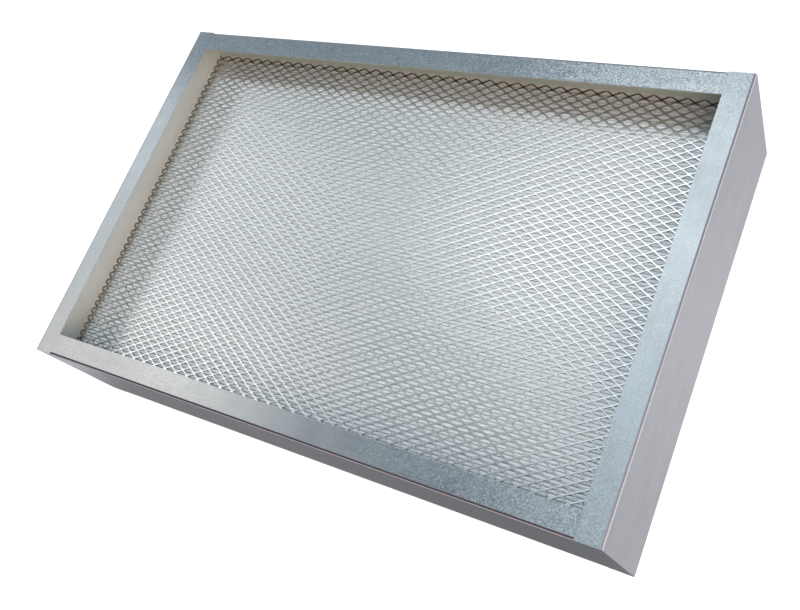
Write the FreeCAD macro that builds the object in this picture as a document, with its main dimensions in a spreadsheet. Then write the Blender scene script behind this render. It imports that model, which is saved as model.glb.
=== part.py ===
import FreeCAD, Part
import math
import os
import Sketcher

# A boxed air filter: a galvanised sheet-steel frame of four folded channels, a deep pack of
# pleated glass-fibre paper potted into it, and an expanded-metal guard on each face of the pack.
# It lies on its back with the recessed face up: X along the long side, Y along the short side.
# The origin is the middle of the frame's back, so Z runs from the back to the front face.

doc = FreeCAD.newDocument("air_filter")

# Driving sizes, in millimetres
SIZES = {
    "frame_length": 500,
    "frame_width": 325,
    "frame_depth": 100,
    "sheet_thickness": 1,
    "bend_radius": 2,
    "flange_width": 18,
    "lap_clearance": 0.1,
    "guard_recess": 32.5,
    "guard_thickness": 1.2,
    "guard_edge_clearance": 1,
    "guard_rim": 3,
    "gap_pitch_long": 78,
    "gap_pitch_short": 46,
    "strand_width": 3,
    "potting_thickness": 4,
    "media_clearance": 0.3,
    "media_thickness": 0.45,
    "pleat_pitch": 3,
    "bead_rows": 7,
    "bead_end_margin": 35,
    "bead_width": 1.5,
    "bead_setback": 6,
    "bead_reach": 28,
    "bead_clearance": 0.05,
}

sheet = doc.addObject("Spreadsheet::Sheet", "Sizes")
for row, (alias, value) in enumerate(SIZES.items(), start=1):
    sheet.set("A%d" % row, alias)
    sheet.set("B%d" % row, str(value))
    sheet.setAlias("B%d" % row, alias)
doc.recompute()


def size(alias):
    """A driving size, read back from the sheet."""
    return float(sheet.get(alias))


# Places that more than one piece needs, each as one expression on the sheet
INNER_LENGTH = "(Sizes.frame_length - 2 * Sizes.sheet_thickness)"
INNER_WIDTH = "(Sizes.frame_width - 2 * Sizes.sheet_thickness)"
LAP = "(Sizes.sheet_thickness + Sizes.lap_clearance)"
FRONT_GUARD_LOW = "(Sizes.frame_depth - Sizes.guard_recess - Sizes.guard_thickness)"
BACK_GUARD_LOW = LAP
POTTING_LOW = "(%s + Sizes.guard_thickness)" % BACK_GUARD_LOW
PACK_LENGTH = "(%s - 2 * Sizes.potting_thickness)" % INNER_LENGTH
PLEATS = "floor((%s - 2 * Sizes.potting_thickness) / Sizes.pleat_pitch)" % INNER_WIDTH
PACK_WIDTH = "(%s * Sizes.pleat_pitch)" % PLEATS


def amount(expression):
    """The value of one of the expressions above."""
    return float(sheet.evalExpression(expression.replace("Sizes.", "")))


# Sketch helpers
def new_body(name):
    body = doc.addObject("PartDesign::Body", name)
    body.Label = name
    return body


def new_sketch(body, name, role):
    """A sketch on one of the body's own origin planes."""
    plane = next(item for item in body.Origin.OriginFeatures if item.Role == role)
    sketch = body.newObject("Sketcher::SketchObject", name)
    sketch.AttachmentSupport = [(plane, "")]
    sketch.MapMode = "FlatFace"
    return sketch


def end_at(sketch, index, point):
    """Which end of an edge, 1 or 2, lies at a point."""
    start = sketch.getPoint(index, 1)
    stop = sketch.getPoint(index, 2)
    return 1 if start.distanceToPoint(point) < stop.distanceToPoint(point) else 2


def bind(sketch, name, constraint, expression):
    """Add a constraint, name it and drive it from the sheet."""
    index = sketch.addConstraint(constraint)
    sketch.renameConstraint(index, name)
    sketch.setExpression("Constraints." + name, expression)


def bind_place(sketch, name, kind, point, side, expression):
    """How far a point stands from the sketch's origin, to one side of it."""
    origin = (-1, 1)
    ends = (origin + point) if side > 0 else (point + origin)
    bind(sketch, name, Sketcher.Constraint(kind, *ends, amount(expression)), expression)


def add_loop(sketch, corners):
    """Straight edges round a closed loop of corners, joined end to end."""
    first = sketch.GeometryCount
    count = len(corners)
    for i in range(count):
        line = Part.LineSegment(corners[i], corners[(i + 1) % count])
        sketch.addGeometry(line, False)
    for i in range(count):
        after = first + (i + 1) % count
        sketch.addConstraint(Sketcher.Constraint("Coincident", first + i, 2, after, 1))
    return first


def level_edges(sketch, first):
    """Keep the four edges of a rectangle level and upright, starting with a level one."""
    for i, way in enumerate(("Horizontal", "Vertical", "Horizontal", "Vertical")):
        sketch.addConstraint(Sketcher.Constraint(way, first + i))


def add_centred_rectangle(sketch, name, length, width):
    """A rectangle about the sketch's origin."""
    half_x = amount(length) / 2
    half_y = amount(width) / 2
    corners = [
        FreeCAD.Vector(-half_x, -half_y, 0),
        FreeCAD.Vector(half_x, -half_y, 0),
        FreeCAD.Vector(half_x, half_y, 0),
        FreeCAD.Vector(-half_x, half_y, 0),
    ]
    first = add_loop(sketch, corners)
    level_edges(sketch, first)
    sketch.addConstraint(Sketcher.Constraint("Symmetric", first, 1, first + 2, 1, -1, 1))
    along = Sketcher.Constraint("DistanceX", first, 1, first, 2, 2 * half_x)
    across = Sketcher.Constraint("DistanceY", first + 1, 1, first + 1, 2, 2 * half_y)
    bind(sketch, name + "_length", along, length)
    bind(sketch, name + "_width", across, width)


def pad_up(body, sketch, name, length):
    """A pad from the sketch's plane to this height."""
    pad = body.newObject("PartDesign::Pad", name)
    pad.Profile = sketch
    pad.setExpression("Length", length)
    return pad


def pad_symmetric(body, sketch, name, length):
    """A pad of this length, half of it to each side of the sketch's plane."""
    pad = pad_up(body, sketch, name, length)
    pad.SideType = "Symmetric"


def volume_now(body):
    doc.recompute()
    return body.Shape.Volume


def cut_through(body, sketch, name):
    """A pocket both ways through the body."""
    pocket = body.newObject("PartDesign::Pocket", name)
    pocket.Profile = sketch
    pocket.SideType = "Symmetric"
    pocket.Type = "ThroughAll"
    return pocket


def require_cut(body, name, before):
    """Stop if a cut, or a whole grid of cuts, took nothing away."""
    if not volume_now(body) < before:
        raise RuntimeError("%s cuts nothing" % name)


# Frame channels
# Each is one strip of galvanised sheet folded twice: the web is the outer wall of the frame, and
# a flange turns in over the front and another over the back.
def draw_channel(sketch, side, reach):
    """The folded section, with its web on one side of the sketch's upright axis."""
    web = side * amount(reach)
    high = size("frame_depth")
    low = 0
    thick = size("sheet_thickness")
    bend = size("bend_radius")
    tip = web - side * size("flange_width")
    turn = web - side * bend
    inside = web - side * thick
    middle_share = math.sqrt(0.5)

    def point(u, v):
        return FreeCAD.Vector(u, v, 0)

    def arc(first, centre, radius, up, last):
        reach_out = radius * middle_share
        middle = point(centre.x + side * reach_out, centre.y + up * reach_out)
        return Part.Arc(first, middle, last)

    high_centre = point(turn, high - bend)
    low_centre = point(turn, low + bend)
    corners = [
        point(tip, high),
        point(turn, high),
        point(web, high - bend),
        point(web, low + bend),
        point(turn, low),
        point(tip, low),
        point(tip, low + thick),
        point(turn, low + thick),
        point(inside, low + bend),
        point(inside, high - bend),
        point(turn, high - thick),
        point(tip, high - thick),
    ]
    arcs = {
        1: (high_centre, bend, 1),
        3: (low_centre, bend, -1),
        7: (low_centre, bend - thick, -1),
        9: (high_centre, bend - thick, 1),
    }
    count = len(corners)
    for i in range(count):
        first = corners[i]
        last = corners[(i + 1) % count]
        if i in arcs:
            centre, radius, up = arcs[i]
            sketch.addGeometry(arc(first, centre, radius, up, last), False)
        else:
            sketch.addGeometry(Part.LineSegment(first, last), False)
    for i in range(count):
        after = (i + 1) % count
        joint = corners[after]
        ends = (i, end_at(sketch, i, joint), after, end_at(sketch, after, joint))
        kind = "Tangent" if i in arcs or after in arcs else "Coincident"
        sketch.addConstraint(Sketcher.Constraint(kind, *ends))
    for i in (2, 5, 8, 11):
        sketch.addConstraint(Sketcher.Constraint("Vertical", i))
    for i in (0, 4, 6, 10):
        sketch.addConstraint(Sketcher.Constraint("Horizontal", i))
    sketch.addConstraint(Sketcher.Constraint("Coincident", 1, 3, 9, 3))
    sketch.addConstraint(Sketcher.Constraint("Coincident", 3, 3, 7, 3))
    sketch.addConstraint(Sketcher.Constraint("Equal", 1, 3))
    sketch.addConstraint(Sketcher.Constraint("Vertical", 0, 1, 4, 2))

    bend_size = Sketcher.Constraint("Radius", 1, bend)
    bind(sketch, "bend", bend_size, "Sizes.bend_radius")
    face = (2, end_at(sketch, 2, corners[2]))
    back = (8, end_at(sketch, 8, corners[9]))
    lip = (0, end_at(sketch, 0, corners[0]))
    foot = (4, end_at(sketch, 4, corners[5]))
    inward = (back + face) if side > 0 else (face + back)
    flange = (lip + face) if side > 0 else (face + lip)
    thick_size = Sketcher.Constraint("DistanceX", *inward, thick)
    bind(sketch, "sheet", thick_size, "Sizes.sheet_thickness")
    flange_size = Sketcher.Constraint("DistanceX", *flange, size("flange_width"))
    bind(sketch, "flange", flange_size, "Sizes.flange_width")
    bind_place(sketch, "reach", "DistanceX", face, side, reach)
    bind_place(sketch, "depth", "DistanceY", lip, 1, "Sizes.frame_depth")
    sketch.addConstraint(Sketcher.Constraint("PointOnObject", *foot, -1))


# The short-side channels run the full width of the frame.
def make_short_channel(name, side):
    body = new_body(name)
    sketch = new_sketch(body, name + "_section", "XZ_Plane")
    draw_channel(sketch, side, "Sizes.frame_length / 2")
    pad_symmetric(body, sketch, name + "_strip", "Sizes.frame_width")


make_short_channel("short_channel_left", -1)
make_short_channel("short_channel_right", 1)


# The long-side channels fit between the webs of the short ones. At their ends the flanges stop at
# those of the short channels, so that all four lie in one plane, and the web slides in under them.
# The corners of the web are nicked to clear the bends.
def draw_end_notches(sketch):
    """Four stepped notches, one at each end of each flange."""
    nick = "(Sizes.bend_radius + Sizes.lap_clearance)"
    end = "(Sizes.frame_length / 2)"
    seam = "(%s - Sizes.flange_width - Sizes.lap_clearance)" % end
    inset = "(%s - %s)" % (end, nick)
    front = "(Sizes.frame_depth - %s)"
    faces = {
        "front": [(front % LAP, 1), (front % nick, 1), ("(Sizes.frame_depth + %s)" % nick, 1)],
        "back": [(LAP, 1), (nick, 1), (nick, -1)],
    }
    # Round a notch, which place and which level each corner has
    steps = [(0, 2), (0, 0), (1, 0), (1, 1), (2, 1), (2, 2)]
    for label, side in (("left", -1), ("right", 1)):
        places = [(seam, side), (inset, side), (end, side)]
        for face, levels in faces.items():
            across = [way * amount(place) for place, way in places]
            upward = [way * amount(level) for level, way in levels]
            first = add_loop(sketch, [FreeCAD.Vector(across[i], upward[j], 0) for i, j in steps])
            for i in range(3):
                upright = first + 2 * i
                shelf = upright + 1
                sketch.addConstraint(Sketcher.Constraint("Vertical", upright))
                sketch.addConstraint(Sketcher.Constraint("Horizontal", shelf))
                name = "%s_%s_%d" % (label, face, i)
                place, way = places[i]
                bind_place(sketch, name + "_place", "DistanceX", (upright, 1), way, place)
                level, way = levels[i]
                bind_place(sketch, name + "_level", "DistanceY", (shelf, 1), way, level)


def make_long_channel(name, side):
    body = new_body(name)
    section = new_sketch(body, name + "_section", "YZ_Plane")
    draw_channel(section, side, "Sizes.frame_width / 2")
    pad_symmetric(body, section, name + "_strip", INNER_LENGTH)
    before = volume_now(body)
    notches = new_sketch(body, name + "_notches", "XZ_Plane")
    draw_end_notches(notches)
    cut_through(body, notches, name + "_relief")
    require_cut(body, name + "_relief", before)


make_long_channel("long_channel_near", -1)
make_long_channel("long_channel_far", 1)


# Guards
# Each is a flat sheet of expanded metal: slit and stretched into a lattice of diamond gaps whose
# long way runs along the frame. Two staggered grids of gaps leave the slanting strands, and a
# narrow rim closes the lattice all round, where it lies on the potting.
PLATE_LENGTH = "(%s - 2 * Sizes.guard_edge_clearance)" % INNER_LENGTH
PLATE_WIDTH = "(%s - 2 * Sizes.guard_edge_clearance)" % INNER_WIDTH
SLANT = "sqrt(Sizes.gap_pitch_long ^ 2 + Sizes.gap_pitch_short ^ 2)"
GAP_LONG = "(Sizes.gap_pitch_long - Sizes.strand_width * %s / Sizes.gap_pitch_short)" % SLANT
GAP_SHORT = "(Sizes.gap_pitch_short - Sizes.strand_width * %s / Sizes.gap_pitch_long)" % SLANT
WINDOW_X = "(%s / 2 - Sizes.guard_rim + %s / 2)" % (PLATE_LENGTH, GAP_LONG)
WINDOW_Y = "(%s / 2 - Sizes.guard_rim + %s / 2)" % (PLATE_WIDTH, GAP_SHORT)
EVEN_COLUMNS = "(2 * floor(%s / Sizes.gap_pitch_long) + 1)" % WINDOW_X
EVEN_ROWS = "(2 * floor(%s / Sizes.gap_pitch_short) + 1)" % WINDOW_Y
ODD_COLUMNS = "(2 * floor(%s / Sizes.gap_pitch_long + 0.5))" % WINDOW_X
ODD_ROWS = "(2 * floor(%s / Sizes.gap_pitch_short + 0.5))" % WINDOW_Y


def draw_diamond(sketch, out_x, out_y):
    """One gap, its centre this far left of and below the sketch's origin."""
    x = -amount(out_x)
    y = -amount(out_y)
    half_long = amount(GAP_LONG) / 2
    half_short = amount(GAP_SHORT) / 2
    corners = [
        FreeCAD.Vector(x - half_long, y, 0),
        FreeCAD.Vector(x, y - half_short, 0),
        FreeCAD.Vector(x + half_long, y, 0),
        FreeCAD.Vector(x, y + half_short, 0),
    ]
    add_loop(sketch, corners)
    sketch.addConstraint(Sketcher.Constraint("Horizontal", 0, 1, 2, 1))
    sketch.addConstraint(Sketcher.Constraint("Vertical", 1, 1, 3, 1))
    sketch.addConstraint(Sketcher.Constraint("Equal", 0, 1))
    sketch.addConstraint(Sketcher.Constraint("Equal", 1, 2))
    long_size = Sketcher.Constraint("DistanceX", 0, 1, 2, 1, 2 * half_long)
    short_size = Sketcher.Constraint("DistanceY", 1, 1, 3, 1, 2 * half_short)
    left_size = Sketcher.Constraint("DistanceX", 1, 1, -1, 1, -x)
    below_size = Sketcher.Constraint("DistanceY", 0, 1, -1, 1, -y)
    bind(sketch, "gap_long", long_size, GAP_LONG)
    bind(sketch, "gap_short", short_size, GAP_SHORT)
    bind(sketch, "left", left_size, out_x)
    bind(sketch, "below", below_size, out_y)


def cut_gaps(body, name, columns, rows):
    """A grid of gaps, centred on the plate."""
    span_x = "((%s - 1) * Sizes.gap_pitch_long)" % columns
    span_y = "((%s - 1) * Sizes.gap_pitch_short)" % rows
    before = volume_now(body)
    sketch = new_sketch(body, name + "_gap", "XY_Plane")
    draw_diamond(sketch, span_x + " / 2", span_y + " / 2")
    pocket = cut_through(body, sketch, name + "_cut")
    doc.recompute()
    grid = body.newObject("PartDesign::LinearPattern", name + "_grid")
    grid.Originals = [pocket]
    grid.Direction = (sketch, ["H_Axis"])
    grid.Direction2 = (sketch, ["V_Axis"])
    grid.setExpression("Length", span_x)
    grid.setExpression("Length2", span_y)
    grid.setExpression("Occurrences", columns)
    grid.setExpression("Occurrences2", rows)
    body.Tip = grid
    require_cut(body, name + "_grid", before)


def make_guard(name, low):
    body = new_body(name)
    outline = new_sketch(body, name + "_outline", "XY_Plane")
    add_centred_rectangle(outline, "plate", PLATE_LENGTH, PLATE_WIDTH)
    pad_up(body, outline, name + "_plate", "Sizes.guard_thickness")
    cut_gaps(body, name + "_even", EVEN_COLUMNS, EVEN_ROWS)
    cut_gaps(body, name + "_odd", ODD_COLUMNS, ODD_ROWS)
    rim = new_sketch(body, name + "_rim", "XY_Plane")
    add_centred_rectangle(rim, "outer", PLATE_LENGTH, PLATE_WIDTH)
    inner_length = "%s - 2 * Sizes.guard_rim" % PLATE_LENGTH
    inner_width = "%s - 2 * Sizes.guard_rim" % PLATE_WIDTH
    add_centred_rectangle(rim, "inner", inner_length, inner_width)
    pad_up(body, rim, name + "_edge", "Sizes.guard_thickness")
    body.setExpression("Placement.Base.z", low)


make_guard("guard_front", FRONT_GUARD_LOW)


# The back guard is cut from the same sheet, and lies on the flanges at the other face of the pack.
def make_twin(name, source, middle):
    """The same piece, mirrored in a level plane at this height."""
    twin = doc.addObject("Part::Mirroring", name)
    twin.Label = name
    twin.Source = doc.getObject(source)
    twin.Normal = FreeCAD.Vector(0, 0, 1)
    twin.setExpression("Base.z", middle)


GUARD_MIDDLE = "((%s + %s + Sizes.guard_thickness) / 2)" % (FRONT_GUARD_LOW, BACK_GUARD_LOW)
make_twin("guard_back", "guard_front", GUARD_MIDDLE)


# Potting
# A ring of cast resin between the pack and the four webs holds the pack and seals its edges.
potting = new_body("potting")
ring = new_sketch(potting, "potting_ring", "XY_Plane")
add_centred_rectangle(ring, "outer", INNER_LENGTH, INNER_WIDTH)
add_centred_rectangle(ring, "inner", PACK_LENGTH, PACK_WIDTH)
pad_up(potting, ring, "potting_cast", "%s - %s" % (FRONT_GUARD_LOW, POTTING_LOW))
potting.setExpression("Placement.Base.z", POTTING_LOW)


# Media pack
# One long sheet of glass-fibre paper folded to and fro. Its folds run along X, and every second
# one comes up to the front guard. The panels are straight, a little apart at the open side.
pleats = int(amount(PLEATS))
pitch = size("pleat_pitch")
paper = size("media_thickness")
pack_length = amount(PACK_LENGTH)
pack_edge = amount(PACK_WIDTH) / 2
pack_low = amount(POTTING_LOW) + size("media_clearance")
pack_high = amount(FRONT_GUARD_LOW) - size("media_clearance")


def front_tip(index):
    """Where along Y a fold at the front stands."""
    return -pack_edge + (index + 0.5) * pitch


def back_tip(index):
    """Where along Y a fold at the back stands."""
    return -pack_edge + index * pitch


def add_shape(name, shape):
    feature = doc.addObject("Part::Feature", name)
    feature.Label = name
    feature.Shape = shape


def solid_along_x(outline, low_x, length):
    """A flat outline in the YZ plane, drawn out along X."""
    points = [FreeCAD.Vector(low_x, y, z) for y, z in outline]
    face = Part.Face(Part.makePolygon(points + points[:1]))
    return face.extrude(FreeCAD.Vector(length, 0, 0))


def folded_outline():
    """The paper's section: its front side from one edge to the other, then its back side."""
    outline = [(back_tip(0), pack_low)]
    for i in range(pleats):
        outline.append((front_tip(i) - paper, pack_high))
        outline.append((front_tip(i) + paper, pack_high))
        if i < pleats - 1:
            outline.append((back_tip(i + 1), pack_low + paper))
    outline.append((back_tip(pleats), pack_low))
    for i in reversed(range(pleats)):
        outline.append((back_tip(i + 1) - paper, pack_low))
        outline.append((front_tip(i), pack_high - paper))
        outline.append((back_tip(i) + paper, pack_low))
    return outline


add_shape("media_pack", solid_along_x(folded_outline(), -pack_length / 2, pack_length))


# Separator beads
# Lines of hot-melt glue across the folds keep the panels apart, spaced evenly along the pack. Each
# is a row of slim wedges, one in each valley, which stop short of the tips. The front and the back
# have their own.
def half_gap(from_tips):
    """Half the width of a valley at a depth below the tips."""
    depth = pack_high - pack_low - paper
    return (pitch / 2 - paper) * (1 - from_tips / depth) - size("bead_clearance")


def bead_row(x, side):
    """One line of wedges at a place along X, on the front for side 1 and the back for -1."""
    near = size("bead_setback")
    far = size("bead_reach")
    if side > 0:
        tips = pack_high
        valleys = [back_tip(i) for i in range(1, pleats)]
    else:
        tips = pack_low
        valleys = [front_tip(i) for i in range(pleats)]
    wedges = []
    for y in valleys:
        outline = [
            (y - half_gap(near), tips - side * near),
            (y + half_gap(near), tips - side * near),
            (y + half_gap(far), tips - side * far),
            (y - half_gap(far), tips - side * far),
        ]
        wedges.append(solid_along_x(outline, x - size("bead_width") / 2, size("bead_width")))
    return Part.makeCompound(wedges)


bead_rows = int(size("bead_rows"))
bead_span = pack_length - 2 * size("bead_end_margin")
for row in range(bead_rows):
    place = (row / (bead_rows - 1) - 0.5) * bead_span
    add_shape("bead_row_front_%d" % (row + 1), bead_row(place, 1))
    add_shape("bead_row_back_%d" % (row + 1), bead_row(place, -1))

doc.recompute()

# Nothing is written unless every object is sound
PIECES = ("PartDesign::Body", "Part::Mirroring", "Part::Feature")
nodes = [item for item in doc.Objects if item.TypeId in PIECES]
for item in doc.Objects:
    if "Invalid" in item.State or "Error" in item.State:
        raise RuntimeError("%s did not build: %s" % (item.Label, item.State))
for node in nodes:
    if node.Shape.isNull() or not node.Shape.isValid():
        raise RuntimeError("%s has no valid shape" % node.Label)

os.makedirs("parts", exist_ok=True)
for node in nodes:
    node.Shape.exportStep("parts/%s.step" % node.Label)
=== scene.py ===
import bmesh
import bpy
import math
from mathutils import Euler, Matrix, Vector


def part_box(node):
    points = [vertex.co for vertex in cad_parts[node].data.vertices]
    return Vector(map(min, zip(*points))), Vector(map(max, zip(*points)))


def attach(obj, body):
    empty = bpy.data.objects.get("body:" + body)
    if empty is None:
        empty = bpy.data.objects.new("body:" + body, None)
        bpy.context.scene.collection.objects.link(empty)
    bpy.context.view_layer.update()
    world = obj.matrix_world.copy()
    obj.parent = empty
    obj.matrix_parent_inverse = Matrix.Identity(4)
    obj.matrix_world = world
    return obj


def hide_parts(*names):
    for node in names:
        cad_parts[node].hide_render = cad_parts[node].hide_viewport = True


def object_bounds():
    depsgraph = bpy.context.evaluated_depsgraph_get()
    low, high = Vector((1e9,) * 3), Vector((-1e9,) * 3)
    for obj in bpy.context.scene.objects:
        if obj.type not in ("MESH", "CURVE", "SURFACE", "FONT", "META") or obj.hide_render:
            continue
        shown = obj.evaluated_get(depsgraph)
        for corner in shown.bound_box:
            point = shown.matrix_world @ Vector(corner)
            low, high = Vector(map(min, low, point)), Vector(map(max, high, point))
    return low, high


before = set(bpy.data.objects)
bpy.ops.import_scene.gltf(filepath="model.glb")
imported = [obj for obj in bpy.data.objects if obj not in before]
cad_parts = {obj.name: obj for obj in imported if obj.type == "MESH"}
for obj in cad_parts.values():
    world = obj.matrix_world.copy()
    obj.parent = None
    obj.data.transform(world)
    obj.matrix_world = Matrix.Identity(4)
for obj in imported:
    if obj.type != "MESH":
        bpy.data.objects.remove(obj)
cad_low, cad_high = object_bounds()


# Frame channels
# Four strips of hot-dip galvanised sheet steel, each folded twice into a C. The webs of the long
# ones slide in under the ends of the short ones, and the cast resin holds all four together.
MM = 0.001


def join(tree, socket, value):
    """Sets an input to a value, or links it to the output of another node."""
    if isinstance(value, bpy.types.NodeSocket):
        tree.links.new(value, socket)
    else:
        socket.default_value = value


def feed(tree, node, **inputs):
    """Joins a node's inputs, each by its name with _ for a space."""
    for name, value in inputs.items():
        join(tree, node.inputs[name.replace("_", " ")], value)


def feed_in_order(tree, node, *values):
    """Joins the first inputs of a node."""
    for socket, value in zip(node.inputs, values):
        join(tree, socket, value)


def add_node(tree, kind, settings=None, **inputs):
    """A node of any tree, with its settings and inputs."""
    node = tree.nodes.new(kind)
    for name, value in (settings or {}).items():
        setattr(node, name, value)
    feed(tree, node, **inputs)
    return node


def start_finish(name):
    """A material, its node tree and its principled shader."""
    material = bpy.data.materials.new(name)
    material.use_nodes = True
    shader = material.node_tree.nodes["Principled BSDF"]
    return material, material.node_tree, shader


def math_step(tree, operation, *values):
    """One step of arithmetic on numbers."""
    node = add_node(tree, "ShaderNodeMath", {"operation": operation})
    feed_in_order(tree, node, *values)
    return node.outputs[0]


def vector_step(tree, operation, *values):
    """One step of arithmetic on vectors."""
    node = add_node(tree, "ShaderNodeVectorMath", {"operation": operation})
    feed_in_order(tree, node, *values)
    return node.outputs["Value" if operation == "DISTANCE" else "Vector"]


def split(tree, vector):
    """The X, Y and Z of a vector."""
    return add_node(tree, "ShaderNodeSeparateXYZ", Vector=vector).outputs


def remap(tree, value, from_range, to_range=(0.0, 1.0)):
    """A value taken from one range to another, and held inside it."""
    node = add_node(tree, "ShaderNodeMapRange")
    feed_in_order(tree, node, value, *from_range, *to_range)
    return node.outputs[0]


def blend(tree, share, first, second):
    """Two colours mixed by a share, from all of the first at 0 to all of the second at 1."""
    node = add_node(tree, "ShaderNodeMix", {"data_type": "RGBA"})
    for index, value in ((0, share), (6, first), (7, second)):
        join(tree, node.inputs[index], value)
    return node.outputs[2]


def object_place(tree, stretch=(1, 1, 1)):
    """Object coordinates in metres, scaled for one pattern."""
    place = add_node(tree, "ShaderNodeTexCoord").outputs["Object"]
    return add_node(tree, "ShaderNodeMapping", Vector=place, Scale=stretch).outputs[0]


def cloudy(tree, place, scale, detail, rough=0.5):
    """Soft noise from 0 to 1."""
    noise = add_node(tree, "ShaderNodeTexNoise", Vector=place, Scale=scale, Detail=detail, Roughness=rough)
    return noise.outputs["Fac"]


def bend_masks(tree, normal):
    """1 on the outside of a bend, where the sheet faces none of the frame's own directions, but 0 on
    the bends of the far side, and 1 on the crown of a bend."""
    flat_to_bent = (0.9995, 0.99)
    near_to_far = (0.1, 0.4)
    crown_start = (0.15, 0.27)
    crown_end = (0.60, 0.70)
    facing = split(tree, vector_step(tree, "ABSOLUTE", normal))
    most = math_step(tree, "MAXIMUM", facing["X"], facing["Y"])
    most = math_step(tree, "MAXIMUM", most, facing["Z"])
    bent = remap(tree, most, flat_to_bent)
    not_far = remap(tree, split(tree, normal)["Y"], near_to_far, (1.0, 0.0))
    started = remap(tree, facing["Z"], crown_start)
    not_ended = remap(tree, facing["Z"], crown_end, (1.0, 0.0))
    bend = math_step(tree, "MULTIPLY", bent, not_far)
    crown = math_step(tree, "MULTIPLY", started, not_ended)
    return bend, crown


def inside_box(tree, place, low, high):
    """1 where a place lies inside a box, with a narrow soft edge."""
    soft_edge = (0.0, 0.05 * MM)
    share = 1.0
    for distances in (vector_step(tree, "SUBTRACT", place, low), vector_step(tree, "SUBTRACT", high, place)):
        for distance in split(tree, distances):
            share = math_step(tree, "MULTIPLY", share, remap(tree, distance, soft_edge))
    return share


def inside_masks(tree, place, painted_reflection_top):
    """1 on the inside of the channels, and 1 where a pale coat paints the reflection of the lit pack,
    which is on the walls up to the coat's top and under the front flanges."""
    skin = Vector((0.5, 0.7, 0.5)) * MM
    painted_reflection_foot = 15 * MM
    under_flange = (98.0 * MM, 98.5 * MM)
    low = cad_low + skin
    high = cad_high - skin
    inside = inside_box(tree, place, low, high)
    on_walls = inside_box(tree, place, (low.x, low.y, painted_reflection_foot), (high.x, high.y, painted_reflection_top))
    on_flanges = math_step(tree, "MULTIPLY", inside, remap(tree, split(tree, place)["Z"], under_flange))
    painted_reflection = math_step(tree, "MAXIMUM", on_walls, on_flanges)
    return inside, painted_reflection


def zinc_crystals(tree, place):
    """Zinc crystals with smaller flecks among them: a tone from 0 to 1, and the way each one leans."""
    crystal_size = 0.95 * MM
    fleck_size = 0.55 * MM
    wobble_size = 0.2 * MM
    middle = (0.5, 0.5, 0.5)
    wobble = add_node(tree, "ShaderNodeTexNoise", Vector=place, Scale=1100.0, Detail=2.0).outputs["Color"]
    wobble = vector_step(tree, "SUBTRACT", wobble, middle)
    wobble = vector_step(tree, "MULTIPLY", wobble, (wobble_size, wobble_size, wobble_size))
    bent = vector_step(tree, "ADD", place, wobble)
    crystal = add_node(tree, "ShaderNodeTexVoronoi", Vector=bent, Scale=1 / crystal_size).outputs["Color"]
    fleck = add_node(tree, "ShaderNodeTexVoronoi", Vector=bent, Scale=1 / fleck_size).outputs["Color"]
    mixed = blend(tree, 0.5, crystal, fleck)
    tone = add_node(tree, "ShaderNodeSeparateColor", Color=mixed).outputs[0]
    return tone, vector_step(tree, "SUBTRACT", mixed, middle)


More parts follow.
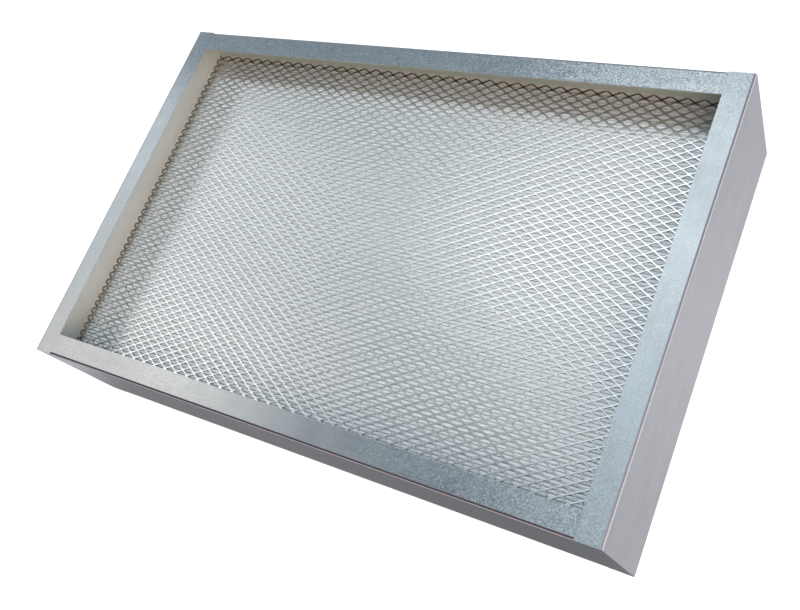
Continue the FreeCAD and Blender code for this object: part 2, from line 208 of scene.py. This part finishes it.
def zinc_finish(name, along, painted_reflection_top, painted_reflection_colour, painted_shade_inside, lean, contrast):
    """Galvanised sheet: fine zinc crystals that each lean their own way, with faint rolling streaks
    along the strip and a smoother coat towards the near left corner. The bends are rougher and carry
    painted shade, darkest on the near side, with a painted highlight along their crown. The inside is
    rougher zinc, darker with painted shade, and a pale coat on its walls and under the front flanges
    paints the reflection of the lit pack."""
    middle_zinc = (0.545, 0.575, 0.59)
    dark_crystal = tuple(part - contrast for part in middle_zinc) + (1,)
    light_crystal = tuple(part + contrast for part in middle_zinc) + (1,)
    smooth_zinc = (0.45, 0.465, 0.47, 1)
    streak_zinc = (0.46, 0.485, 0.495, 1)
    bloom_zinc = (0.50, 0.515, 0.525, 1)
    # Painted shade on the bends, darkest on the near side, and a painted highlight on their crown.
    painted_bend_shade = (0.42, 0.42, 0.50, 1)
    painted_near_bend_shade = (0.14, 0.13, 0.16, 1)
    painted_crown_highlight = (0.90, 0.87, 0.90, 1)
    smooth_corner = (cad_low.x, cad_low.y, cad_high.z)
    smooth_reach = (0.10, 0.26)
    rougher_inside = 0.2
    rougher_bend = 0.45
    material, tree, shader = start_finish(name)
    place = object_place(tree)
    surface = add_node(tree, "ShaderNodeNewGeometry").outputs["Normal"]
    bend, crown = bend_masks(tree, surface)
    inside, painted_reflection = inside_masks(tree, place, painted_reflection_top)
    tone, own_way = zinc_crystals(tree, place)
    grain = remap(tree, vector_step(tree, "DISTANCE", place, smooth_corner), smooth_reach, (0.3, 1.0))
    steepness = vector_step(tree, "MULTIPLY", grain, (lean, lean, lean))
    leaning = vector_step(tree, "MULTIPLY", own_way, steepness)
    leaning = vector_step(tree, "NORMALIZE", vector_step(tree, "ADD", surface, leaning))
    waves = cloudy(tree, place, scale=14.0, detail=1.0)
    bump = add_node(tree, "ShaderNodeBump", Strength=0.15, Distance=0.1 * MM, Height=waves, Normal=leaning)
    streak = cloudy(tree, object_place(tree, along), scale=260.0, detail=3.0, rough=0.6)
    streak_share = remap(tree, streak, (0.50, 0.72), (0.0, 0.5))
    bloom = cloudy(tree, place, scale=35.0, detail=4.0, rough=0.6)
    bloom_share = remap(tree, bloom, (0.45, 0.75), (0.0, 0.3))
    near_side = remap(tree, split(tree, surface)["Y"], (-0.3, -0.05), (1.0, 0.0))
    colour = blend(tree, grain, smooth_zinc, blend(tree, tone, dark_crystal, light_crystal))
    colour = blend(tree, streak_share, colour, streak_zinc)
    colour = blend(tree, bloom_share, colour, bloom_zinc)
    # The bends get painted shade, darkest on the near side, and a painted highlight on their crown.
    bend_colour = blend(tree, crown, blend(tree, near_side, painted_bend_shade, painted_near_bend_shade), painted_crown_highlight)
    colour = blend(tree, bend, colour, bend_colour)
    # Inside the channels: darker zinc as painted shade of the recess, and a pale coat as a painted
    # reflection of the lit pack.
    colour = blend(tree, inside, colour, blend(tree, painted_reflection, painted_shade_inside, painted_reflection_colour))
    roughness = remap(tree, bloom, (0.3, 0.7), (0.20, 0.28))
    roughness = math_step(tree, "MULTIPLY_ADD", inside, rougher_inside, roughness)
    roughness = math_step(tree, "MULTIPLY_ADD", bend, rougher_bend, roughness)
    metallic = remap(tree, painted_reflection, (0.0, 1.0), (1.0, 0.2))
    feed(tree, shader, Base_Color=colour, Roughness=roughness, Metallic=metallic, Normal=bump.outputs[0])
    return material


def dress(node, material):
    """Gives a piece of the CAD model its finish, in each slot that it has."""
    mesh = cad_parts[node].data
    if not mesh.materials:
        mesh.materials.append(material)
    for index in range(len(mesh.materials)):
        mesh.materials[index] = material


# The inside colours are painted shade, and the pale coat up to its top is a painted reflection of the lit
# pack.
long_zinc = zinc_finish(
    "galvanised_sheet_long", along=(0.06, 1, 1), painted_reflection_top=76 * MM, painted_reflection_colour=(0.62, 0.66, 0.60, 1),
    painted_shade_inside=(0.55, 0.48, 0.41, 1), lean=0.10, contrast=0.19)
short_zinc = zinc_finish(
    "galvanised_sheet_short", along=(1, 0.06, 1), painted_reflection_top=98.5 * MM, painted_reflection_colour=(0.86, 0.87, 0.83, 1),
    painted_shade_inside=(0.50, 0.51, 0.51, 1), lean=0.08, contrast=0.06)
dress("long_channel_near", long_zinc)
dress("long_channel_far", long_zinc)
dress("short_channel_left", short_zinc)
dress("short_channel_right", short_zinc)


# Potting
# A ring of polyurethane resin, poured between the pleated pack and the four webs. It seals the
# pack's edges and glues the whole filter together.
def resin_finish():
    """Cast resin, a little cloudy, with a smooth skin that rolls slightly."""
    dark_resin = (0.56, 0.54, 0.49, 1)
    light_resin = (0.66, 0.64, 0.59, 1)
    material, tree, shader = start_finish("cast_resin")
    place = object_place(tree)
    cloud = cloudy(tree, place, scale=60.0, detail=4.0, rough=0.6)
    colour = blend(tree, cloud, dark_resin, light_resin)
    roughness = remap(tree, cloud, (0.3, 0.7), (0.35, 0.55))
    rolling = cloudy(tree, place, scale=220.0, detail=3.0)
    bump = add_node(tree, "ShaderNodeBump", Strength=0.3, Distance=0.3 * MM, Height=rolling)
    feed(tree, shader, Base_Color=colour, Roughness=roughness, Normal=bump.outputs[0])
    return material


dress("potting", resin_finish())


# Media pack
# One long sheet of white glass-fibre paper, scored and folded to and fro into 105 deep pleats. The
# folds are rounded, and wander a little where the paper is soft. Its edges are cast in the resin.
def keep_result(piece, modifier):
    """Keeps what a modifier makes of a piece as its plain mesh, and takes the modifier off."""
    evaluated = piece.evaluated_get(bpy.context.evaluated_depsgraph_get())
    result = bpy.data.meshes.new_from_object(evaluated)
    piece.modifiers.remove(modifier)
    piece.data = result


def run_tree(name, mesh, tree, values):
    """A new object with the mesh that a geometry node tree makes of another mesh."""
    piece = bpy.data.objects.new(name, mesh)
    bpy.context.scene.collection.objects.link(piece)
    modifier = piece.modifiers.new("make", "NODES")
    modifier.node_group = tree
    for item in tree.interface.items_tree:
        if item.in_out == "INPUT" and item.name in values:
            modifier[item.identifier] = values[item.name]
    keep_result(piece, modifier)
    piece.data.name = name
    return piece


def start_tree(name, inputs):
    """A geometry node tree with a mesh going in and out, and inputs named with their kinds."""
    tree = bpy.data.node_groups.new(name, "GeometryNodeTree")
    tree.interface.new_socket("Geometry", in_out="INPUT", socket_type="NodeSocketGeometry")
    for label, kind in inputs.items():
        tree.interface.new_socket(label, in_out="INPUT", socket_type="NodeSocket" + kind)
    tree.interface.new_socket("Geometry", in_out="OUTPUT", socket_type="NodeSocketGeometry")
    entry = tree.nodes.new("NodeGroupInput")
    leave = tree.nodes.new("NodeGroupOutput")
    return tree, entry.outputs, leave.inputs[0]


def thicken(piece, thickness):
    """Gives an open sheet its thickness, half to each side, as a closed mesh."""
    modifier = piece.modifiers.new("thickness", "SOLIDIFY")
    modifier.thickness = thickness
    modifier.offset = 0.0
    modifier.use_even_offset = True
    keep_result(piece, modifier)


def paper_finish():
    """Glass-fibre paper: matt, white and a little translucent, with fine fibres and the creases of
    folding."""
    creased_paper = (0.665, 0.71, 0.72, 1)
    plain_paper = (0.755, 0.80, 0.81, 1)
    crease_share = 3.0
    material, tree, shader = start_finish("glass_fibre_paper")
    crease = cloudy(tree, object_place(tree, (1, 3, 1)), scale=170.0, detail=3.0, rough=0.6)
    fibre = cloudy(tree, object_place(tree), scale=1800.0, detail=2.0)
    rise = math_step(tree, "MULTIPLY_ADD", crease, crease_share, fibre)
    bump = add_node(tree, "ShaderNodeBump", Strength=0.5, Distance=0.25 * MM, Height=rise)
    colour = blend(tree, crease, creased_paper, plain_paper)
    roughness = remap(tree, crease, (0.3, 0.7), (0.75, 0.95))
    feed(tree, shader, Base_Color=colour, Roughness=roughness, Normal=bump.outputs[0])
    feed(tree, shader, Subsurface_Weight=0.8, Subsurface_Radius=(1.0, 1.0, 1.0), Subsurface_Scale=2.0 * MM)
    return material


def half_fold(steps, radius):
    """Points from the crown of a fold to its side, as distances out from it and away from it."""
    flatness = 0.75
    points = []
    for i in range(steps + 1):
        angle = math.pi / 2 * i / steps
        points.append((radius * math.sin(angle), radius * flatness * (1 - math.cos(angle))))
    return points


def pleat_section(pitch, low, high, fold_radius, back_steps, front_steps):
    """One pleat from back fold to back fold, as points in Y and Z on the middle of the paper."""
    back = [(y, low + z) for y, z in half_fold(back_steps, fold_radius)]
    front = [(pitch / 2 - y, high - z) for y, z in half_fold(front_steps, fold_radius)]
    rising = back + front[::-1]
    return rising + [(pitch - y, z) for y, z in rising[-2::-1]]


def pleat_mesh(section, length, steps):
    """A pleat's section drawn out along X as an open sheet, its middle at the origin."""
    shape = bmesh.new()
    rows = []
    for i in range(steps + 1):
        x = length * (i / steps - 0.5)
        rows.append([shape.verts.new((x, y, z)) for y, z in section])
    for near, far in zip(rows, rows[1:]):
        for i in range(len(section) - 1):
            shape.faces.new((near[i], far[i], far[i + 1], near[i + 1]))
    mesh = bpy.data.meshes.new("pleat")
    shape.to_mesh(mesh)
    shape.free()
    return mesh


def pleats_tree():
    """Repeats one pleat across the pack, joins the pleats to one sheet and lets the folds wander."""
    tree, entry, leave = start_tree("pleats", {
        "Count": "Int",
        "Pitch": "Float",
        "Wander": "Float",
        "Wander Scale": "Float",
        "Seed": "Float",
        "Material": "Material",
    })
    step = add_node(tree, "ShaderNodeCombineXYZ", Y=entry["Pitch"]).outputs[0]
    width = math_step(tree, "MULTIPLY", entry["Count"], entry["Pitch"])
    first = add_node(tree, "ShaderNodeCombineXYZ", Y=math_step(tree, "MULTIPLY", width, -0.5)).outputs[0]
    line = add_node(tree, "GeometryNodeMeshLine", Count=entry["Count"], Start_Location=first, Offset=step)
    copies = add_node(
        tree, "GeometryNodeInstanceOnPoints", Points=line.outputs[0], Instance=entry["Geometry"])
    real = add_node(tree, "GeometryNodeRealizeInstances", Geometry=copies.outputs[0])
    sheet = add_node(tree, "GeometryNodeMergeByDistance", Geometry=real.outputs[0], Distance=0.01 * MM)
    where = add_node(tree, "GeometryNodeInputPosition").outputs[0]
    noise = add_node(
        tree, "ShaderNodeTexNoise", {"noise_dimensions": "4D"}, W=entry["Seed"], Scale=entry["Wander Scale"],
        Vector=vector_step(tree, "MULTIPLY", where, (1.0, 3.0, 0.15)), Detail=2.0, Roughness=0.5)
    away = math_step(tree, "SUBTRACT", noise.outputs["Fac"], 0.5)
    away = math_step(tree, "MULTIPLY", away, entry["Wander"])
    away = add_node(tree, "ShaderNodeCombineXYZ", Y=away).outputs[0]
    moved = add_node(tree, "GeometryNodeSetPosition", Geometry=sheet.outputs[0], Offset=away)
    done = add_node(tree, "GeometryNodeSetMaterial", Geometry=moved.outputs[0], Material=entry["Material"])
    tree.links.new(done.outputs[0], leave)
    return tree


PLEATS = 105
PAPER = 0.4 * MM
FOLD_RADIUS = 1.08 * MM
pack_low, pack_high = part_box("media_pack")
pleat_pitch = (pack_high.y - pack_low.y) / PLEATS
section = pleat_section(
    pleat_pitch, pack_low.z + PAPER / 2, pack_high.z - PAPER / 2, FOLD_RADIUS, back_steps=2, front_steps=3)
pleat = pleat_mesh(section, pack_high.x - pack_low.x, steps=36)
pack = run_tree("folded_media", pleat, pleats_tree(), {
    "Count": PLEATS,
    "Pitch": pleat_pitch,
    "Wander": 2.2 * MM,
    "Wander Scale": 30.0,
    "Seed": 3.0,
    "Material": paper_finish(),
})
thicken(pack, PAPER)
for face in pack.data.polygons:
    face.use_smooth = True
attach(pack, "root")
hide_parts("media_pack")


# Separator beads
# Lines of hot-melt glue, laid across the scored paper on both sides before it is folded. They meet
# where the folds close, and keep the pleats apart.
def glue_finish():
    """Hot-melt glue, pale, with a smooth skin."""
    dark_glue = (0.62, 0.64, 0.60, 1)
    light_glue = (0.74, 0.75, 0.71, 1)
    material, tree, shader = start_finish("hot_melt_glue")
    cloud = cloudy(tree, object_place(tree), scale=300.0, detail=2.0)
    colour = blend(tree, cloud, dark_glue, light_glue)
    roughness = remap(tree, cloud, (0.3, 0.7), (0.35, 0.5))
    bump = add_node(tree, "ShaderNodeBump", Strength=0.3, Distance=0.1 * MM, Height=cloud)
    feed(tree, shader, Base_Color=colour, Roughness=roughness, Normal=bump.outputs[0])
    return material


glue = glue_finish()
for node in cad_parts:
    if node.startswith("bead_row"):
        dress(node, glue)


# Guards
# Expanded metal: a thin sheet, slit in staggered rows and stretched, so that the strands lean and
# meet at knots. One lies on each face of the pack, sheared to size.
def strand_finish():
    """Bright drawn metal. The slit flanks of the strands are dull cut metal with painted shade, and the
    strands next to the frame's walls carry painted shade.
    """
    dark_drawn = (0.88, 0.89, 0.90, 1)
    light_drawn = (0.96, 0.96, 0.96, 1)
    dull_and_shaded_flank = (0.27, 0.29, 0.31, 1)
    painted_wall_shade = (0.12, 0.11, 0.10, 1)
    material, tree, shader = start_finish("expanded_metal")
    place = object_place(tree)
    cloud = cloudy(tree, place, scale=90.0, detail=3.0)
    drawn = cloudy(tree, place, scale=1500.0, detail=2.0)
    reach = split(tree, vector_step(tree, "ABSOLUTE", place))
    # The bands along the walls, where the strands get painted shade.
    near_short_sides = remap(tree, reach["X"], (240 * MM, 244 * MM))
    near_long_sides = remap(tree, reach["Y"], (153 * MM, 157 * MM))
    end = math_step(tree, "MAXIMUM", near_short_sides, near_long_sides)
    surface = add_node(tree, "ShaderNodeNewGeometry").outputs["Normal"]
    upright = split(tree, vector_step(tree, "ABSOLUTE", surface))["Z"]
    flank = remap(tree, upright, (0.5, 0.85), (1.0, 0.0))
    colour = blend(tree, cloud, dark_drawn, light_drawn)
    # The flanks are dull cut metal, and their dark colour is also painted shade.
    colour = blend(tree, flank, colour, dull_and_shaded_flank)
    # Painted shade on the strands next to the frame's walls.
    colour = blend(tree, end, colour, painted_wall_shade)
    roughness = remap(tree, cloud, (0.3, 0.7), (0.20, 0.26))
    bump = add_node(tree, "ShaderNodeBump", Strength=0.25, Distance=0.08 * MM, Height=drawn)
    feed(tree, shader, Base_Color=colour, Roughness=roughness, Metallic=1.0, Normal=bump.outputs[0])
    return material


def knot_mesh(long_pitch, short_pitch, strand, knot, lean):
    """A knot with the near halves of its four strands, a leaning open sheet round the origin."""
    half_x = long_pitch / 4
    half_y = short_pitch / 4
    slope = math.atan2(short_pitch / 2 - strand, long_pitch / 2 - knot)
    half_strand = strand / 2 / math.cos(slope)
    shape = bmesh.new()

    def at(x, y, up):
        return shape.verts.new((x, y, up * math.tan(lean)))

    right = at(knot / 2, 0, 0)
    left = at(-knot / 2, 0, 0)
    shoulder = knot / 2 - strand * math.tan(slope / 2)
    for side in (1, -1):
        near_right = at(shoulder, side * strand, side * strand)
        near_left = at(-shoulder, side * strand, side * strand)
        far = {}
        for way in (1, -1):
            inner = at(way * half_x, side * (half_y - half_strand), -side * half_strand)
            outer = at(way * half_x, side * (half_y + half_strand), side * half_strand)
            far[way] = (inner, outer)
        shape.faces.new((left, right, near_right, near_left))
        shape.faces.new((right, far[1][0], far[1][1], near_right))
        shape.faces.new((far[-1][0], left, near_left, far[-1][1]))
    bmesh.ops.recalc_face_normals(shape, faces=shape.faces[:])
    for face in shape.faces:
        face.normal_update()
        if face.normal.z < 0:
            face.normal_flip()
    mesh = bpy.data.meshes.new("knot")
    shape.to_mesh(mesh)
    shape.free()
    return mesh


def staggered_grid(tree, entry, columns, rows):
    """A grid of points round the origin, one pitch apart each way."""
    size_x = math_step(tree, "MULTIPLY", math_step(tree, "SUBTRACT", columns, 1.0), entry["Long Pitch"])
    size_y = math_step(tree, "MULTIPLY", math_step(tree, "SUBTRACT", rows, 1.0), entry["Short Pitch"])
    grid = add_node(
        tree, "GeometryNodeMeshGrid", Size_X=size_x, Size_Y=size_y, Vertices_X=columns, Vertices_Y=rows)
    return grid.outputs[0]


def lattice_tree():
    """Sets a knot at every point of two grids, the second half a pitch off the first both ways, and
    joins them to one slightly uneven sheet."""
    tree, entry, leave = start_tree("expanded_sheet", {
        "Columns": "Int",
        "Rows": "Int",
        "Long Pitch": "Float",
        "Short Pitch": "Float",
        "Height": "Float",
        "Unevenness": "Float",
        "Seed": "Float",
        "Material": "Material",
    })
    odd_columns = math_step(tree, "SUBTRACT", entry["Columns"], 1.0)
    odd_rows = math_step(tree, "ADD", entry["Rows"], 1.0)
    points = add_node(tree, "GeometryNodeJoinGeometry")
    tree.links.new(staggered_grid(tree, entry, entry["Columns"], entry["Rows"]), points.inputs[0])
    tree.links.new(staggered_grid(tree, entry, odd_columns, odd_rows), points.inputs[0])
    copies = add_node(
        tree, "GeometryNodeInstanceOnPoints", Points=points.outputs[0], Instance=entry["Geometry"])
    real = add_node(tree, "GeometryNodeRealizeInstances", Geometry=copies.outputs[0])
    joined = add_node(tree, "GeometryNodeMergeByDistance", Geometry=real.outputs[0], Distance=0.01 * MM)
    where = add_node(tree, "GeometryNodeInputPosition").outputs[0]
    noise = add_node(
        tree, "ShaderNodeTexNoise", {"noise_dimensions": "4D"}, Vector=where, W=entry["Seed"], Scale=35.0,
        Detail=1.0)
    away = vector_step(tree, "SUBTRACT", noise.outputs["Color"], (0.5, 0.5, 0.5))
    away = add_node(
        tree, "ShaderNodeVectorMath", {"operation": "SCALE"}, Vector=away, Scale=entry["Unevenness"])
    lift = add_node(tree, "ShaderNodeCombineXYZ", Z=entry["Height"])
    offset = vector_step(tree, "ADD", away.outputs[0], lift.outputs[0])
    moved = add_node(tree, "GeometryNodeSetPosition", Geometry=joined.outputs[0], Offset=offset)
    done = add_node(tree, "GeometryNodeSetMaterial", Geometry=moved.outputs[0], Material=entry["Material"])
    tree.links.new(done.outputs[0], leave)
    return tree


LONG_PITCH = 12.15 * MM
SHORT_PITCH = 7.15 * MM
STRAND = 0.86 * MM
KNOT = 1.9 * MM
GUARD_SHEET = 0.45 * MM
expanded_metal = strand_finish()
lattice = lattice_tree()


def shear(mesh, low, high):
    """Cuts an open sheet off straight along the four sides of a box."""
    shape = bmesh.new()
    shape.from_mesh(mesh)
    for corner, sign in ((low, -1), (high, 1)):
        for outward in (Vector((sign, 0, 0)), Vector((0, sign, 0))):
            parts = shape.verts[:] + shape.edges[:] + shape.faces[:]
            bmesh.ops.bisect_plane(shape, geom=parts, plane_co=corner, plane_no=outward, clear_outer=True)
    shape.to_mesh(mesh)
    shape.free()


def make_guard(name, node, lean, seed):
    """An expanded-metal sheet in the place of one guard."""
    low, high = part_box(node)
    knot = knot_mesh(LONG_PITCH, SHORT_PITCH, STRAND, KNOT, lean)
    guard = run_tree(name, knot, lattice, {
        "Columns": 2 * math.ceil(high.x / LONG_PITCH) + 1,
        "Rows": 2 * math.ceil(high.y / SHORT_PITCH - 0.5) + 1,
        "Long Pitch": LONG_PITCH,
        "Short Pitch": SHORT_PITCH,
        "Height": (low.z + high.z) / 2,
        "Unevenness": 0.3 * MM,
        "Seed": seed,
        "Material": expanded_metal,
    })
    shear(guard.data, low, high)
    thicken(guard, GUARD_SHEET)
    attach(guard, "root")
    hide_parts(node)


make_guard("expanded_sheet_front", "guard_front", lean=math.radians(2.5), seed=5.0)
make_guard("expanded_sheet_back", "guard_back", lean=math.radians(-2.5), seed=9.0)


# Studio
# A pale floor that the filter lies on, a small key light nearly overhead, soft panels that show in
# the metal, a dim room round them, and the camera at the photograph's viewpoint.
def floor_finish():
    """A pale floor that glows a little, so that it comes out white."""
    dark_floor = (0.46, 0.46, 0.46, 1)
    light_floor = (0.50, 0.50, 0.50, 1)
    white_glow = (1, 1, 1, 1)
    material, tree, shader = start_finish("pale_floor")
    cloud = cloudy(tree, object_place(tree), scale=3.0, detail=2.0)
    colour = blend(tree, cloud, dark_floor, light_floor)
    feed(tree, shader, Base_Color=colour, Roughness=0.8, Emission_Color=white_glow, Emission_Strength=0.75)
    return material


def make_floor(half_width):
    """A square floor just under the filter, which the metal doesn't mirror."""
    corners = [(-half_width, -half_width, 0), (half_width, -half_width, 0),
               (half_width, half_width, 0), (-half_width, half_width, 0)]
    mesh = bpy.data.meshes.new("floor")
    mesh.from_pydata(corners, [], [(0, 1, 2, 3)])
    mesh.materials.append(floor_finish())
    floor = bpy.data.objects.new("floor", mesh)
    bpy.context.scene.collection.objects.link(floor)
    floor.location.z = cad_low.z - 0.2 * MM
    floor.visible_glossy = False


def soft_box(name, direction, width, height, power, colour, distance=2.0):
    """A flat lamp, this far from the filter in a direction, turned to face it with its width level."""
    light = bpy.data.lights.new(name, "AREA")
    light.shape = "RECTANGLE"
    light.size = width
    light.size_y = height
    light.energy = power
    light.color = colour
    lamp = bpy.data.objects.new(name, light)
    towards = Vector(direction).normalized()
    lamp.location = (cad_low + cad_high) / 2 + towards * distance
    lamp.rotation_euler = towards.to_track_quat("Z", "Y").to_euler()
    bpy.context.scene.collection.objects.link(lamp)
    return lamp


def studio_walls(near_side, far_side, under):
    """The room round the filter: dim on the near side, cool on the far side, and stripes below, which
    show in the outer walls, with one soft light band across them."""
    band_middle = 0.33
    band_width = 0.2
    band_light = 1.2
    world = bpy.data.worlds.new("studio")
    bpy.context.scene.world = world
    world.use_nodes = True
    world.cycles.sampling_method = "NONE"
    tree = world.node_tree
    direction = split(tree, add_node(tree, "ShaderNodeTexCoord").outputs["Generated"])
    stripes = add_node(tree, "ShaderNodeValToRGB", Fac=remap(tree, direction["X"], (-1.0, 1.0)))
    elements = stripes.color_ramp.elements
    while len(elements) < len(under):
        elements.new(0.5)
    for element, (place, colour) in zip(elements, under):
        element.position = (place + 1) / 2
        element.color = colour + (1,)
    above = blend(tree, remap(tree, direction["Y"], (-0.5, 0.3)), near_side + (1,), far_side + (1,))
    off_band = math_step(tree, "ABSOLUTE", math_step(tree, "SUBTRACT", direction["Y"], band_middle))
    band = remap(tree, off_band, (0.0, band_width), (band_light, 1.0))
    below = add_node(
        tree, "ShaderNodeVectorMath", {"operation": "SCALE"}, Vector=stripes.outputs[0], Scale=band)
    colour = blend(tree, remap(tree, direction["Z"], (-0.05, 0.1)), below.outputs[0], above)
    feed(tree, tree.nodes["Background"], Color=colour)


def make_camera(place, aim, roll, focal_length):
    """The photograph's viewpoint, in millimetres from the object's origin."""
    data = bpy.data.cameras.new("camera")
    data.sensor_width = 36.0
    data.lens = focal_length
    camera = bpy.data.objects.new("camera", data)
    look = (Vector(aim) - Vector(place)).normalized()
    level = look.to_track_quat("-Z", "Y")
    camera.location = Vector(place) * MM
    camera.rotation_euler = (level @ Euler((0, 0, math.radians(roll))).to_quaternion()).to_euler()
    bpy.context.scene.collection.objects.link(camera)
    bpy.context.scene.camera = camera


make_floor(half_width=20.0)
# The key casts the shadow of the far flange, and the metal doesn't mirror it.
key = soft_box("key", (0.20, 0.27, 1.0), 0.09, 0.09, power=26.5, colour=(0.83, 0.93, 1.0), distance=2.4)
key.visible_glossy = False
# The next five show in the left flange, the near flange, the guard, the far flange and the right flange.
soft_box("left_box", (-0.75, 0.20, 0.63), 0.65, 0.85, power=1.35, colour=(1.0, 0.99, 0.98))
soft_box("warm_box", (-0.72, -0.13, 0.68), 0.75, 0.80, power=1.95, colour=(1.0, 0.89, 0.79))
soft_box("white_box", (-0.325, 0.305, 0.90), 0.53, 0.53, power=1.12, colour=(0.97, 0.99, 1.0))
soft_box("far_box", (-0.08, 0.50, 0.87), 0.75, 0.7, power=1.7, colour=(0.94, 0.98, 1.0))
soft_box("top_box", (-0.04, 0.12, 0.99), 0.7, 0.7, power=0.95, colour=(0.85, 0.95, 1.0))
# The last one fills the shadow under the far flange with warm light from the camera's side.
soft_box("side_box", (0.57, -0.45, 0.69), 1.8, 1.8, power=28.0, colour=(1.0, 0.83, 0.70))
studio_walls(near_side=(0.20, 0.21, 0.23), far_side=(0.31, 0.38, 0.44), under=[
    (-0.74, (0.70, 0.71, 0.77)),
    (-0.70, (0.26, 0.26, 0.27)),
    (-0.25, (0.18, 0.18, 0.19)),
    (0.12, (0.61, 0.60, 0.63)),
    (0.90, (0.61, 0.60, 0.63)),
])
make_camera(place=(384.06, -210.97, 628.15), aim=(64.34, -49.59, 100.0), roll=-44.95, focal_length=41.12)
bpy.context.scene.view_settings.view_transform = "Standard"
